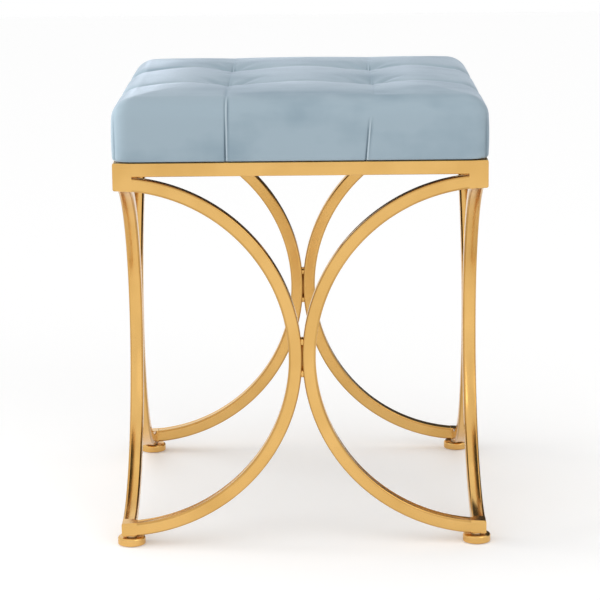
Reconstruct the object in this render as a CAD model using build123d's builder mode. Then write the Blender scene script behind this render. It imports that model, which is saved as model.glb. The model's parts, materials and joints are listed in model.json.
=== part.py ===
"""A square ottoman: a tufted velvet seat on a frame of half-circle legs bent from square tube.

Millimetres. The origin is on the floor, under the middle of the seat. +Z is up and the front faces -Y.
"""

import math
import os
from typing import NamedTuple

from build123d import *

# Frame sizes
frame_width = 400.0
tube = 15.0
tube_wall = 1.2
tube_corner = 1.6
leg_depth = 14.4
leg_slit = 1.4
butt_gap = 0.4
weld_root = 0.5
weld_inset = 0.6
corner_weld_length = 21.0
tack_height = 8.0
tack_spacing = 34.0
plug_length = 6.0
block_length = 22.0
plug_clearance = 0.1

# Levelling foot sizes
foot_inset = 10.0
disc_diameter = 30.5
disc_height = 8.6
disc_round = 2.4
disc_lower_round = 0.8
pad_diameter = 25.0
pad_thickness = 2.0
pad_proud = 0.8
pad_clearance = 0.1
collar_width = 10.0
collar_height = 1.4
collar_gap = 0.2
stem_diameter = 6.0
stem_clearance = 0.08
stem_end_gap = 0.8
stem_chamfer = 0.7
spigot_depth = 5.0

# Seat sizes
cover_overhang = 1.5
cover_thickness = 2.6
wadding_thickness = 6.0
soft_gap = 0.3
foam_corner = 7.0
foam_edge = 19.0
seat_gap = 0.8
hem_thickness = 1.2
hem_return = 30.0
side_height = 44.0
end_round = 10.0
tuft_spacing_x = 158.0
tuft_spacing_y = 146.0
channel_depth = 4.5
tuft_depth = 14.0
edge_drop = 4.0
rim_crown = 1.5
swell_power = 2.4
pleat_depth = 1.8
pleat_width = 9.0
board_thickness = 12.0
board_corner = 12.0
dust_cover_thickness = 0.6
dust_cover_overlap = 7.0

# Fastener sizes
gusset_leg = 50.0
gusset_thickness = 3.0
bolt_diameter = 6.0
bolt_clearance = 0.5
bolt_end_gap = 1.0
bolt_head_diameter = 12.0
bolt_head_height = 4.0
bolt_head_round = 1.2
bolt_socket = 4.0
bolt_socket_depth = 2.4
washer_diameter = 14.0
washer_thickness = 1.6
tee_flange_diameter = 18.0
tee_flange_thickness = 1.4
tee_barrel_diameter = 8.0
tee_barrel_length = 9.0
tee_clearance = 0.1
button_diameter = 18.0
button_rise = 3.5
button_back = 3.2
button_gap = 1.9
tie_diameter = 2.0
tie_clearance = 1.0
tie_washer_diameter = 20.0
tie_washer_gap = 0.2
staple_crown = 10.0
staple_wire = 0.9
staple_leg = 6.0
staples_each_side = 7

# Heights and places that follow from them
half = frame_width / 2
inner_half = half - tube
leg_radius = half - leg_slit / 2
leg_bottom = pad_proud + disc_height + collar_height + collar_gap
leg_middle = leg_bottom + leg_radius
leg_top = leg_middle + leg_radius
rail_bottom = leg_top + weld_root
rail_top = rail_bottom + tube
foot_place = half - foot_inset
stem_hole = stem_diameter + 2 * stem_clearance
stem_top = leg_bottom + leg_depth - tube_wall - stem_end_gap
disc_top = pad_proud + disc_height

cover_bottom = rail_top + seat_gap
board_bottom = cover_bottom + hem_thickness
board_top = board_bottom + board_thickness
wadding_inset = cover_thickness + soft_gap
foam_inset = wadding_inset + wadding_thickness + soft_gap
cushion_half = half + cover_overhang
cover_corner = foam_corner + foam_inset
edge_radius = foam_edge + foam_inset
side_top = cover_bottom + side_height
crown_top = side_top + edge_radius
board_half = cushion_half - cover_thickness - pleat_depth - soft_gap
tuft_x = tuft_spacing_x / 2
tuft_y = tuft_spacing_y / 2
tuft_floor = crown_top - tuft_depth
button_bottom = tuft_floor + button_gap
tie_hole = tie_diameter + 2 * tie_clearance
tie_washer_bottom = cover_bottom + tie_washer_gap
hem_inner = cushion_half - hem_return
dust_cover_half = hem_inner + dust_cover_overlap
dust_cover_bottom = cover_bottom - dust_cover_thickness
staple_line = hem_inner + dust_cover_overlap / 2
staple_run = 2 * (inner_half - gusset_leg - staple_crown)

gusset_bottom = rail_top - gusset_thickness
bolt_place = inner_half - gusset_leg / 3
bolt_hole = bolt_diameter + 2 * bolt_clearance
bolt_seat = gusset_bottom - washer_thickness
bolt_top = board_top - bolt_end_gap

# Each side of the frame: its name, its outward direction, and the names of its left and right ends
sides = {
    "front": (Vector(0, -1, 0), ("left", "right")),
    "right": (Vector(1, 0, 0), ("front", "rear")),
    "rear": (Vector(0, 1, 0), ("right", "left")),
    "left": (Vector(-1, 0, 0), ("rear", "front")),
}
corners = {
    "front_left": (-1, -1),
    "front_right": (1, -1),
    "rear_left": (-1, 1),
    "rear_right": (1, 1),
}
run_through_sides = ("left", "right")
hands = (-1, 1)
upper_end = 1
lower_end = -1
up = Vector(0, 0, 1)

# Where the cushion's cross-sections stand: turns round its front edge, and shares of half a cell
edge_turns = (0, 20, 40, 60, 75, 90)
cell_shares = (0.45, 0.75, 0.92)

os.makedirs("parts", exist_ok=True)


def save(builder, name):
    """Label a finished piece and write its file."""
    builder.part.label = name
    export_step(builder.part, f"parts/{name}.step")


def leg_axis(outward, hand):
    """The line that a leg bends about; hand is -1 for the left end of a side and 1 for the right."""
    along = up.cross(outward)
    centre = outward * (half - tube / 2) + along * (hand * half) + up * leg_middle
    return Axis(centre, outward * -hand)


def leg_end_plane(outward, hand, end):
    """The upright plane across one end of a leg, centred on the tube."""
    along = up.cross(outward)
    centre = leg_axis(outward, hand).position + up * (end * (leg_radius - leg_depth / 2))
    return Plane(origin=centre, x_dir=outward * -hand, z_dir=along * -hand)


def bent_bar(outward, hand, end, length):
    """A solid bar that fills the end of a leg's tube and is bent as the leg is."""
    axis = leg_axis(outward, hand)
    margin = tube_wall + plug_clearance
    with BuildPart() as bar:
        with BuildSketch(leg_end_plane(outward, hand, end)):
            RectangleRounded(tube - 2 * margin, leg_depth - 2 * margin, tube_corner / 2)
        turn_axis = Axis(axis.position, axis.direction * -end)
        revolve(axis=turn_axis, revolution_arc=math.degrees(length / leg_radius))
    return bar.part


def leg_drop(distance):
    """How far a leg's outer face has curved away at a distance from its topmost, lowest or middle line."""
    return leg_radius - math.sqrt(leg_radius**2 - distance**2)


class Station(NamedTuple):
    """One upright cross-section of the cushion: its place along Y and the sizes of its outline."""

    place: float
    half_width: float
    side_z: float
    edge_reach: float
    edge_z: float
    crown_z: float
    valley_z: float


def edge_stations(inset):
    """The cross-sections round the cushion's front edge, from its face inwards, a layer's inset smaller."""
    end = cushion_half - inset
    radius = edge_radius - inset
    corner = cover_corner - inset
    for turn in edge_turns:
        rise = math.sin(math.radians(turn))
        inward = radius * (1 - math.cos(math.radians(turn)))
        short_of_corner = max(corner - inward, 0)
        crown_z = side_top + (radius - edge_drop) * rise
        yield Station(
            place=end - inward,
            half_width=end - corner + math.sqrt(corner**2 - short_of_corner**2),
            side_z=side_top - end_round * (1 - rise),
            edge_reach=end_round + (radius - end_round) * rise,
            edge_z=crown_z - rim_crown - (edge_drop - rim_crown) * rise,
            crown_z=crown_z,
            valley_z=crown_z - rim_crown - (channel_depth - edge_drop - rim_crown) * rise,
        )


def cell_station(inset, place, swell_loss, tuft_pull):
    """A cross-section inside a row of cells: how far its crown has sunk, and how near a tuft it is."""
    top = crown_top - inset
    crown_z = top - swell_loss
    valley_loss = channel_depth + (tuft_depth - channel_depth) * tuft_pull
    return Station(
        place=place,
        half_width=cushion_half - inset - pleat_depth * tuft_pull**4,
        side_z=side_top,
        edge_reach=edge_radius - inset,
        edge_z=crown_z - edge_drop,
        crown_z=crown_z,
        valley_z=top - valley_loss,
    )


def cushion_stations(inset):
    """All the cross-sections of a layer of the cushion, from the front to the rear."""
    rim = cushion_half - edge_radius
    outer_middle = (rim + tuft_y) / 2
    outer_reach = outer_middle - tuft_y
    front_half = list(edge_stations(inset))
    front_half.append(cell_station(inset, outer_middle, 0, 0))
    for share in (*cell_shares, 1):
        swell = share**swell_power
        front_half.append(cell_station(inset, outer_middle - outer_reach * share, channel_depth * swell, swell))
    for share in reversed(cell_shares):
        swell = share**swell_power
        front_half.append(cell_station(inset, tuft_y * share, channel_depth * swell, swell))
    middle = cell_station(inset, 0, 0, 0)
    mirrored = [station._replace(place=-station.place) for station in front_half]
    return [*mirrored, middle, *reversed(front_half)]


def cushion_form(inset, bottom):
    """The tufted cushion's solid form down to a height, a layer's inset smaller than its outside."""
    diagonal = math.cos(math.radians(45))
    with BuildPart() as form:
        for station in cushion_stations(inset):
            wide = station.half_width
            rim = wide - station.edge_reach
            edge_height = station.edge_z - station.side_z
            shoulder = (wide - station.edge_reach * (1 - diagonal), station.side_z + edge_height * diagonal)
            cell_middle = (rim + tuft_x) / 2
            with BuildSketch(Plane.XZ.offset(-station.place)):
                with BuildLine():
                    Polyline(
                        (-wide, station.side_z), (-wide, bottom), (wide, bottom), (wide, station.side_z)
                    )
                    ThreePointArc((wide, station.side_z), shoulder, (rim, station.edge_z))
                    ThreePointArc(
                        (rim, station.edge_z), (cell_middle, station.crown_z), (tuft_x, station.valley_z)
                    )
                    ThreePointArc((tuft_x, station.valley_z), (0, station.crown_z), (-tuft_x, station.valley_z))
                    ThreePointArc(
                        (-tuft_x, station.valley_z), (-cell_middle, station.crown_z), (-rim, station.edge_z)
                    )
                    ThreePointArc(
                        (-rim, station.edge_z), (-shoulder[0], shoulder[1]), (-wide, station.side_z)
                    )
                make_face()
        loft(ruled=True)
    return form.part


# Top rails, mitred at the corners
for side, (outward, ends) in sides.items():
    along = up.cross(outward)
    rail_middle = outward * (half - tube / 2) + up * (rail_bottom + tube / 2)
    with BuildPart() as rail:
        with BuildSketch(Plane(origin=rail_middle, x_dir=outward, z_dir=along)):
            RectangleRounded(tube, tube, tube_corner)
            bore = tube - 2 * tube_wall
            RectangleRounded(bore, bore, tube_corner / 2, mode=Mode.SUBTRACT)
        extrude(amount=half, both=True)
        for hand in hands:
            corner = outward * half + along * (hand * half)
            mitre = Plane(origin=corner, z_dir=outward - along * hand)
            split(bisect_by=mitre, keep=Keep.TOP)
    save(rail, f"{side}_rail")

# Half-circle legs: the left and right pairs run through, the front and rear pairs fit between them
for side, (outward, ends) in sides.items():
    along = up.cross(outward)
    for hand, end_name in zip(hands, ends):
        with BuildPart() as leg:
            with BuildSketch(leg_end_plane(outward, hand, lower_end)):
                RectangleRounded(tube, leg_depth, tube_corner)
                RectangleRounded(
                    tube - 2 * tube_wall, leg_depth - 2 * tube_wall, tube_corner / 2, mode=Mode.SUBTRACT
                )
            revolve(axis=leg_axis(outward, hand), revolution_arc=180)
            if side in run_through_sides:
                with Locations(outward * foot_place + along * (hand * foot_place) + up * leg_bottom):
                    Cylinder(stem_hole / 2, leg_depth, mode=Mode.SUBTRACT)
            else:
                butt = Plane(origin=along * (hand * (inner_half - butt_gap)), z_dir=along * -hand)
                split(bisect_by=butt, keep=Keep.TOP)
        save(leg, f"{side}_{end_name}_leg")

# Plugs that close the upper open ends of the side legs
with BuildPart() as end_plugs:
    for side in run_through_sides:
        for hand in hands:
            add(bent_bar(sides[side][0], hand, upper_end, plug_length))
save(end_plugs, "leg_end_plugs")

# Tapped blocks in the lower ends of the side legs, one for each foot
with BuildPart() as foot_blocks:
    for side in run_through_sides:
        for hand in hands:
            add(bent_bar(sides[side][0], hand, lower_end, block_length))
    with Locations(Plane.XY.offset(leg_bottom)):
        with GridLocations(2 * foot_place, 2 * foot_place, 2, 2):
            Cylinder(stem_hole / 2, 4 * leg_depth, mode=Mode.SUBTRACT)
save(foot_blocks, "foot_blocks")

# Weld beads between the rails and the upper ends of the legs
with BuildPart() as corner_welds:
    for side, (outward, ends) in sides.items():
        bead_start = 0 if side in run_through_sides else tube + butt_gap
        near_top = leg_radius - leg_drop(bead_start)
        far_top = leg_radius - leg_drop(corner_weld_length)
        roof = leg_radius + weld_root
        for hand in hands:
            near = -hand * bead_start
            far = -hand * corner_weld_length
            bead_plane = Plane(
                origin=leg_axis(outward, hand).position, x_dir=up.cross(outward), z_dir=outward
            )
            with BuildSketch(bead_plane):
                with BuildLine():
                    Polyline((near, near_top), (near, roof), (far, roof), (far, far_top))
                    RadiusArc((far, far_top), (near, near_top), hand * leg_radius)
                make_face()
    extrude(amount=tube / 2 - weld_inset, both=True)
save(corner_welds, "corner_welds")

# Weld tacks above and below the middle of each side, where its two legs almost touch
with BuildPart() as tack_welds:
    for side, (outward, ends) in sides.items():
        tack_plane = Plane(
            origin=outward * (half - tube / 2) + up * leg_middle, x_dir=up.cross(outward), z_dir=outward
        )
        for end in (upper_end, lower_end):
            levels = [end * (tack_spacing + step * tack_height) / 2 for step in (-1, 0, 1)]
            low, middle, high = [(leg_slit / 2 + leg_drop(level), level) for level in levels]
            with BuildSketch(tack_plane):
                with BuildLine():
                    Line((-low[0], low[1]), low)
                    ThreePointArc(low, middle, high)
                    Line(high, (-high[0], high[1]))
                    ThreePointArc((-high[0], high[1]), (-middle[0], middle[1]), (-low[0], low[1]))
                make_face()
    extrude(amount=tube / 2 - weld_inset, both=True)
save(tack_welds, "tack_welds")

# Corner gussets inside the rails, which carry the seat
for corner_name, (side_x, side_y) in corners.items():
    with BuildPart() as gusset:
        with BuildSketch(Plane.XY.offset(gusset_bottom)):
            with BuildLine():
                Polyline(
                    (side_x * inner_half, side_y * inner_half),
                    (side_x * (inner_half - gusset_leg), side_y * inner_half),
                    (side_x * inner_half, side_y * (inner_half - gusset_leg)),
                    close=True,
                )
            make_face()
            with Locations((side_x * bolt_place, side_y * bolt_place)):
                Circle(bolt_hole / 2, mode=Mode.SUBTRACT)
        extrude(amount=gusset_thickness)
    save(gusset, f"{corner_name}_gusset")

# Seat bolts, washers and tee nuts
with BuildPart() as seat_bolts:
    with BuildSketch(Plane.XY.offset(bolt_seat)):
        with GridLocations(2 * bolt_place, 2 * bolt_place, 2, 2):
            Circle(bolt_head_diameter / 2)
    extrude(amount=-bolt_head_height)
    fillet(seat_bolts.edges().group_by(Axis.Z)[0], bolt_head_round)
    with BuildSketch(Plane.XY.offset(bolt_seat)):
        with GridLocations(2 * bolt_place, 2 * bolt_place, 2, 2):
            Circle(bolt_diameter / 2)
    extrude(amount=bolt_top - bolt_seat)
    with BuildSketch(Plane.XY.offset(bolt_seat - bolt_head_height)):
        with GridLocations(2 * bolt_place, 2 * bolt_place, 2, 2):
            RegularPolygon(bolt_socket / 2, 6, major_radius=False)
    extrude(amount=bolt_socket_depth, mode=Mode.SUBTRACT)
save(seat_bolts, "seat_bolts")

with BuildPart() as seat_washers:
    with BuildSketch(Plane.XY.offset(bolt_seat)):
        with GridLocations(2 * bolt_place, 2 * bolt_place, 2, 2):
            Circle(washer_diameter / 2)
            Circle(bolt_hole / 2, mode=Mode.SUBTRACT)
    extrude(amount=washer_thickness)
save(seat_washers, "seat_washers")

with BuildPart() as tee_nuts:
    with BuildSketch(Plane.XY.offset(board_top)):
        with GridLocations(2 * bolt_place, 2 * bolt_place, 2, 2):
            Circle(tee_flange_diameter / 2)
    extrude(amount=-tee_flange_thickness)
    with BuildSketch(Plane.XY.offset(board_top)):
        with GridLocations(2 * bolt_place, 2 * bolt_place, 2, 2):
            Circle(tee_barrel_diameter / 2)
    extrude(amount=-tee_barrel_length)
    with BuildSketch(Plane.XY.offset(board_top)):
        with GridLocations(2 * bolt_place, 2 * bolt_place, 2, 2):
            Circle(bolt_diameter / 2 + tee_clearance)
    extrude(amount=-tee_barrel_length, mode=Mode.SUBTRACT)
save(tee_nuts, "tee_nuts")

# Levelling feet: a pressed disc, its floor pad, and a stem with a collar for a spanner
for corner_name, (side_x, side_y) in corners.items():
    foot = Plane(origin=(side_x * foot_place, side_y * foot_place, 0))
    with BuildPart() as disc:
        with BuildSketch(foot.offset(pad_proud)):
            Circle(disc_diameter / 2)
        extrude(amount=disc_height)
        fillet(disc.edges().group_by(Axis.Z)[-1], disc_round)
        fillet(disc.edges().group_by(Axis.Z)[0], disc_lower_round)
        with BuildSketch(foot):
            Circle(pad_diameter / 2 + pad_clearance)
        extrude(amount=pad_thickness, mode=Mode.SUBTRACT)
        with BuildSketch(foot.offset(disc_top)):
            Circle(stem_diameter / 2)
        extrude(amount=-spigot_depth, mode=Mode.SUBTRACT)
    save(disc, f"{corner_name}_foot_disc")

    with BuildPart() as pad:
        with BuildSketch(foot):
            Circle(pad_diameter / 2)
        extrude(amount=pad_thickness)
    save(pad, f"{corner_name}_foot_pad")

    with BuildPart() as stem:
        with BuildSketch(foot.offset(disc_top - spigot_depth)):
            Circle(stem_diameter / 2)
        extrude(amount=stem_top - disc_top + spigot_depth)
        chamfer(stem.edges().group_by(Axis.Z)[-1], stem_chamfer)
        with BuildSketch(foot.offset(disc_top)):
            RegularPolygon(collar_width / 2, 6, major_radius=False)
        extrude(amount=collar_height)
    save(stem, f"{corner_name}_foot_stem")

# Seat board, drilled for the tufts' ties and the tee nuts
with BuildPart() as board:
    with BuildSketch(Plane.XY.offset(board_bottom)):
        RectangleRounded(2 * board_half, 2 * board_half, board_corner)
        with GridLocations(tuft_spacing_x, tuft_spacing_y, 2, 2):
            Circle(tie_hole / 2, mode=Mode.SUBTRACT)
    extrude(amount=board_thickness)
    with Locations(Plane.XY.offset(board_top)):
        with GridLocations(2 * bolt_place, 2 * bolt_place, 2, 2):
            CounterBoreHole(
                radius=tee_barrel_diameter / 2 + tee_clearance,
                counter_bore_radius=tee_flange_diameter / 2 + tee_clearance,
                counter_bore_depth=tee_flange_thickness,
                depth=board_thickness,
            )
save(board, "seat_board")

# Foam, wadding and cover: the same tufted form, one inside the other
with BuildPart() as foam:
    add(cushion_form(foam_inset, board_top))
    with BuildSketch(Plane.XY.offset(board_top)):
        with GridLocations(tuft_spacing_x, tuft_spacing_y, 2, 2):
            Circle(tie_hole / 2)
    extrude(amount=crown_top - board_top, mode=Mode.SUBTRACT)
save(foam, "seat_foam")

with BuildPart() as wadding:
    add(cushion_form(wadding_inset, board_top))
    add(cushion_form(wadding_inset + wadding_thickness, board_bottom), mode=Mode.SUBTRACT)
    with BuildSketch(Plane.XY.offset(board_top)):
        with GridLocations(tuft_spacing_x, tuft_spacing_y, 2, 2):
            Circle(tie_hole / 2)
    extrude(amount=crown_top - board_top, mode=Mode.SUBTRACT)
save(wadding, "seat_wadding")

with BuildPart() as cover:
    add(cushion_form(0, cover_bottom))
    add(cushion_form(cover_thickness, board_bottom), mode=Mode.SUBTRACT)
    with BuildSketch(Plane.XY.offset(cover_bottom)):
        Rectangle(2 * hem_inner, 2 * hem_inner)
        with GridLocations(2 * bolt_place, 2 * bolt_place, 2, 2):
            Circle(bolt_hole / 2)
    extrude(amount=hem_thickness, mode=Mode.SUBTRACT)
    with BuildSketch(Plane.XY.offset(board_top)):
        with GridLocations(tuft_spacing_x, tuft_spacing_y, 2, 2):
            Circle(tie_hole / 2)
    extrude(amount=crown_top - board_top, mode=Mode.SUBTRACT)
    with BuildSketch(Plane.XY.offset(cover_bottom)):
        for hand in hands:
            for face in (-cushion_half, cushion_half):
                pleat_root = face - math.copysign(pleat_depth, face)
                with BuildLine():
                    Polyline(
                        (hand * tuft_x - pleat_width / 2, face),
                        (hand * tuft_x + pleat_width / 2, face),
                        (hand * tuft_x, pleat_root),
                        close=True,
                    )
                make_face()
    extrude(amount=crown_top - cover_bottom, mode=Mode.SUBTRACT)
save(cover, "seat_cover")

# Tuft buttons in the dimples, with their ties and the washers that hold the ties under the board
back_radius = (button_diameter**2 / 4 + button_back**2) / (2 * button_back)
face_radius = (button_diameter**2 / 4 + button_rise**2) / (2 * button_rise)
with BuildPart() as button:
    with Locations((0, 0, back_radius)):
        Sphere(back_radius)
    with Locations((0, 0, button_back + button_rise - face_radius)):
        Sphere(face_radius, mode=Mode.INTERSECT)

with BuildPart() as buttons:
    with Locations(Plane.XY.offset(button_bottom)):
        with GridLocations(tuft_spacing_x, tuft_spacing_y, 2, 2):
            add(button.part)
save(buttons, "tuft_buttons")

with BuildPart() as ties:
    with BuildSketch(Plane.XY.offset(tie_washer_bottom)):
        with GridLocations(tuft_spacing_x, tuft_spacing_y, 2, 2):
            Circle(tie_diameter / 2)
    extrude(amount=button_bottom - tie_washer_bottom)
save(ties, "tuft_ties")

with BuildPart() as tie_washers:
    with BuildSketch(Plane.XY.offset(tie_washer_bottom)):
        with GridLocations(tuft_spacing_x, tuft_spacing_y, 2, 2):
            Circle(tie_washer_diameter / 2)
            Circle(tie_diameter / 2, mode=Mode.SUBTRACT)
    extrude(amount=board_bottom - tie_washer_bottom)
save(tie_washers, "tie_washers")

# Dust cover under the seat, and the staples that hold it through the cover's hem
with BuildPart() as dust_cover:
    with BuildSketch(Plane.XY.offset(dust_cover_bottom)):
        Rectangle(2 * dust_cover_half, 2 * dust_cover_half)
        with GridLocations(2 * bolt_place, 2 * bolt_place, 2, 2):
            Circle(bolt_hole / 2, mode=Mode.SUBTRACT)
    extrude(amount=dust_cover_thickness)
save(dust_cover, "dust_cover")

with BuildPart() as staples:
    with Locations(Plane.XY.offset(dust_cover_bottom)):
        with PolarLocations(staple_line, 4):
            with GridLocations(0, staple_run / (staples_each_side - 1), 1, staples_each_side):
                Box(staple_wire, staple_crown, staple_wire, align=(Align.CENTER, Align.CENTER, Align.MAX))
                with GridLocations(0, staple_crown - staple_wire, 1, 2):
                    Box(staple_wire, staple_wire, staple_leg, align=(Align.CENTER, Align.CENTER, Align.MIN))
save(staples, "dust_cover_staples")
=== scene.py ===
"""A square ottoman: a tufted velvet seat on an open gold frame of half-circle legs, dressed for rendering."""

import json
import logging
import math
from dataclasses import dataclass
from enum import Enum
from typing import Iterable, Sequence

import bmesh
import bpy
import numpy as np
from mathutils import Euler, Matrix, Vector, noise

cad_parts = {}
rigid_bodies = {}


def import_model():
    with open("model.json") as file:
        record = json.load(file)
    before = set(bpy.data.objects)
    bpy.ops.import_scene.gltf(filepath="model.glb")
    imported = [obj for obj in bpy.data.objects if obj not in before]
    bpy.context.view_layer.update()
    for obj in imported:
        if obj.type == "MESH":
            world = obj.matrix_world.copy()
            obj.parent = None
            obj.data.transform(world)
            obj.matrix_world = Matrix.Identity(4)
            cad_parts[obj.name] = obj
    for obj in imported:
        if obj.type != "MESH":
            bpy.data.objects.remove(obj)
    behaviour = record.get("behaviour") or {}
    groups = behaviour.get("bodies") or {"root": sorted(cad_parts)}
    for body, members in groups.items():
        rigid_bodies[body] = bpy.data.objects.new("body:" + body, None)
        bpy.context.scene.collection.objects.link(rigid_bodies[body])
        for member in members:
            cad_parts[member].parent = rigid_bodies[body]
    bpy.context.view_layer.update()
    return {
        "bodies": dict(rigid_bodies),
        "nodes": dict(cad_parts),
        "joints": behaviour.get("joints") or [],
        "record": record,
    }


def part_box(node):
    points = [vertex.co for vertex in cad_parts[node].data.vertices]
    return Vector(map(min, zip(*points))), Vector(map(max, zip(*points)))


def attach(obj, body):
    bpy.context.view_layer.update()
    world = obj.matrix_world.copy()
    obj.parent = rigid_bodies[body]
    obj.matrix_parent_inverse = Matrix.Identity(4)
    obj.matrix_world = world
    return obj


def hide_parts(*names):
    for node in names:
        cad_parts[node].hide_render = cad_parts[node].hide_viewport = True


LOG = logging.getLogger("ottoman")

Colour = tuple[float, float, float]
Point = tuple[float, float, float]
Socket = bpy.types.NodeSocket
Value = Socket | float
Material = bpy.types.Material
Piece = bpy.types.Object

MM = 0.001
TINY = 1e-9
QUARTER = 90
BODY = "ottoman"
EDGE = "edge"
FOLD_SHADE = "fold"
SHARP_ANGLE = math.radians(40)
CORNERS = {"front_left": (-1, -1), "front_right": (1, -1), "rear_left": (-1, 1), "rear_right": (1, 1)}
RAILS = ("front_rail", "rear_rail", "left_rail", "right_rail")
SIDES = {"rear": 0.0, "left": math.pi / 2, "front": math.pi, "right": -math.pi / 2}
HANDS = {"rear": 1, "left": 1, "front": -1, "right": -1}
LEGS = (
    "front_left_leg", "front_right_leg", "rear_left_leg", "rear_right_leg",
    "left_front_leg", "left_rear_leg", "right_front_leg", "right_rear_leg",
)


class Slot(Enum):
    """The record's material slots for the scene's own pieces, by name."""

    GOLD = "gold_metal"
    VELVET = "velvet"
    DUST = "dust_cloth"


class Nodes:
    """A short way to write a node tree."""

    def __init__(self, tree: bpy.types.NodeTree) -> None:
        """Write in a tree."""
        self.tree = tree

    def add(
        self, kind: str, inputs: dict[str | int, object] | None = None, **values: object
    ) -> bpy.types.Node:
        """Add a node, set its properties, and set or link its inputs.

        Args:
            kind: The node's type.
            inputs: Numbers or sockets, by the input's name or place.
            values: Properties, by attribute name.

        Returns:
            The new node.
        """
        node = self.tree.nodes.new(kind)
        for key, value in values.items():
            setattr(node, key, value)
        for key, value in (inputs or {}).items():
            self.feed(node.inputs[key], value)
        return node

    def feed(self, socket: Socket, value: object) -> None:
        """Set an input, or link it where the value is a socket."""
        if isinstance(value, Socket):
            self.tree.links.new(value, socket)
        else:
            socket.default_value = value

    def math(self, operation: str, *terms: Value) -> Socket:
        """Work out a number from others by one of the Math node's operations."""
        node = self.add("ShaderNodeMath", operation=operation)
        for socket, term in zip(node.inputs, terms):
            self.feed(socket, term)
        return node.outputs["Value"]

    def times(self, first: Value, second: Value) -> Socket:
        """The product of two numbers."""
        return self.math("MULTIPLY", first, second)

    def less(self, first: Value, second: Value) -> Socket:
        """The first number less the second."""
        return self.math("SUBTRACT", first, second)

    def seen_ray(self) -> Socket:
        """A factor that is 1 for rays of the camera, of reflections and of glass."""
        path = self.add("ShaderNodeLightPath").outputs
        first = self.math("MAXIMUM", path["Is Camera Ray"], path["Is Glossy Ray"])
        return self.math("MAXIMUM", first, path["Is Transmission Ray"])


class ShaderTree(Nodes):
    """A material with a Principled shader."""

    NOISE_LOW = 0.3
    NOISE_HIGH = 0.7

    def __init__(self, name: str) -> None:
        """Start a material that has only an output and its shader."""
        self.material = bpy.data.materials.new(name)
        self.material.use_nodes = True
        super().__init__(self.material.node_tree)
        self.tree.nodes.clear()
        self.shader = self.add("ShaderNodeBsdfPrincipled")
        self.add("ShaderNodeOutputMaterial", {"Surface": self.shader.outputs["BSDF"]})

    def set(self, **values: object) -> None:
        """Set or link the shader's own sockets, by name with spaces as underscores."""
        for key, value in values.items():
            self.feed(self.shader.inputs[key.replace("_", " ")], value)

    def place(self, scale: Sequence[float] = (1, 1, 1)) -> Socket:
        """Object coordinates, stretched by a factor along each axis."""
        coordinate = self.add("ShaderNodeTexCoord").outputs["Object"]
        return self.add("ShaderNodeMapping", {"Vector": coordinate, "Scale": scale}).outputs["Vector"]

    def cloud(self, place: Socket, scale: float, detail: float = 3.0) -> Socket:
        """A soft noise between 0 and 1.

        Args:
            place: The coordinates to read.
            scale: The noise's frequency per metre.
            detail: How many octaves it has.

        Returns:
            The noise's factor socket.
        """
        inputs = {"Vector": place, "Scale": scale, "Detail": detail}
        return self.add("ShaderNodeTexNoise", inputs).outputs["Fac"]

    def ramp(self, factor: Socket, low: Colour, high: Colour, start: float, end: float) -> Socket:
        """A colour that goes from low to high as a factor goes from start to end."""
        node = self.add("ShaderNodeValToRGB", {"Fac": factor})
        first, last = node.color_ramp.elements
        first.position = start
        last.position = end
        first.color = (*low, 1)
        last.color = (*high, 1)
        return node.outputs["Color"]

    def span(self, factor: Socket, low: float, high: float) -> Socket:
        """A number that goes from low to high over the range where noise mostly lies."""
        return self.add("ShaderNodeMapRange", {
            "Value": factor, "From Min": self.NOISE_LOW, "From Max": self.NOISE_HIGH,
            "To Min": low, "To Max": high,
        }).outputs["Result"]

    def kept_value(self, name: str) -> Socket:
        """A number that the mesh keeps under a name."""
        return self.add("ShaderNodeAttribute", attribute_name=name).outputs["Fac"]

    def mixed(self, factor: Socket, first: Socket, second: Colour) -> Socket:
        """A colour that goes to a second one as a factor goes from 0 to 1."""
        inputs = {"Factor": factor, "A": first, "B": (*second, 1)}
        return self.add("ShaderNodeMix", inputs, data_type="RGBA").outputs["Result"]

    def bump(self, height: Socket, distance: float, strength: float) -> None:
        """Feed a height to the shader as a bump.

        Args:
            height: The height socket, from 0 to 1.
            distance: The height in metres that 1 stands for.
            strength: How much of it shows.
        """
        node = self.add("ShaderNodeBump", {"Height": height, "Distance": distance, "Strength": strength})
        self.set(Normal=node.outputs["Normal"])


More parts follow.
